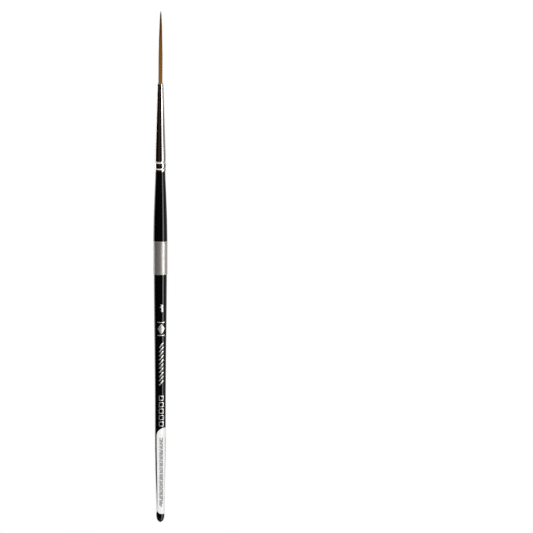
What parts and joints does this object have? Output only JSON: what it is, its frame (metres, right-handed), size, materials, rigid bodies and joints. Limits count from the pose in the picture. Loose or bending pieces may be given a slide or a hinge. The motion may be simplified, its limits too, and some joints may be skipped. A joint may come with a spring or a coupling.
{
  "type": "fine detail brush",
  "caption": "Slim round paint brush with a long pointed tuft, crimped metal ferrule, lacquered turned handle, silver band and paper label.",
  "frame": {"origin": "on the axis, at the middle of the silver band where the brush is gripped", "axes": "+Z along the brush towards the hair tip, -Y towards the side with the size number, +X to the right of that side"},
  "size_m": [0.0052, 0.0052, 0.19],
  "materials": {
    "handle_core": "satin",
    "front_lacquer": "gloss",
    "silver_band": "satin",
    "rear_lacquer": "gloss",
    "tenon_glue": "satin",
    "ferrule": "polished",
    "root_resin": "gloss",
    "binding_thread": "matte",
    "filament_core": "satin",
    "filament_ring_2": "satin",
    "filament_ring_3": "satin",
    "filament_ring_4": "satin",
    "filament_ring_5": "satin",
    "filament_ring_6": "satin",
    "size_mark": "satin",
    "maker_mark": "satin",
    "name_line": "satin",
    "series_line": "satin",
    "label": "matte",
    "label_print": "matte"
  },
  "bodies": {
    "handle": {"handle_core": "handle_core", "front_lacquer": "front_lacquer", "silver_band": "silver_band", "rear_lacquer": "rear_lacquer", "tenon_glue": "tenon_glue", "ferrule": "ferrule", "root_resin": "root_resin", "binding_thread": "binding_thread", "size_mark": "size_mark", "maker_mark": "maker_mark", "name_line": "name_line", "series_line": "series_line", "label": "label", "label_print": "label_print"},
    "tuft": {"filament_core": "filament_core", "filament_ring_2": "filament_ring_2", "filament_ring_3": "filament_ring_3", "filament_ring_4": "filament_ring_4", "filament_ring_5": "filament_ring_5", "filament_ring_6": "filament_ring_6"}
  },
  "joints": [
    {"name": "tuft_flex", "type": "hinge", "parent": "handle", "child": "tuft", "pos_m": [0, 0, 0.06455], "axis": [0, 1, 0], "range_deg": [-45, 45], "stiffness_Nm_per_rad": 0.0002, "deforming": ["filament_core", "filament_ring_2", "filament_ring_3", "filament_ring_4", "filament_ring_5", "filament_ring_6"]}
  ]
}
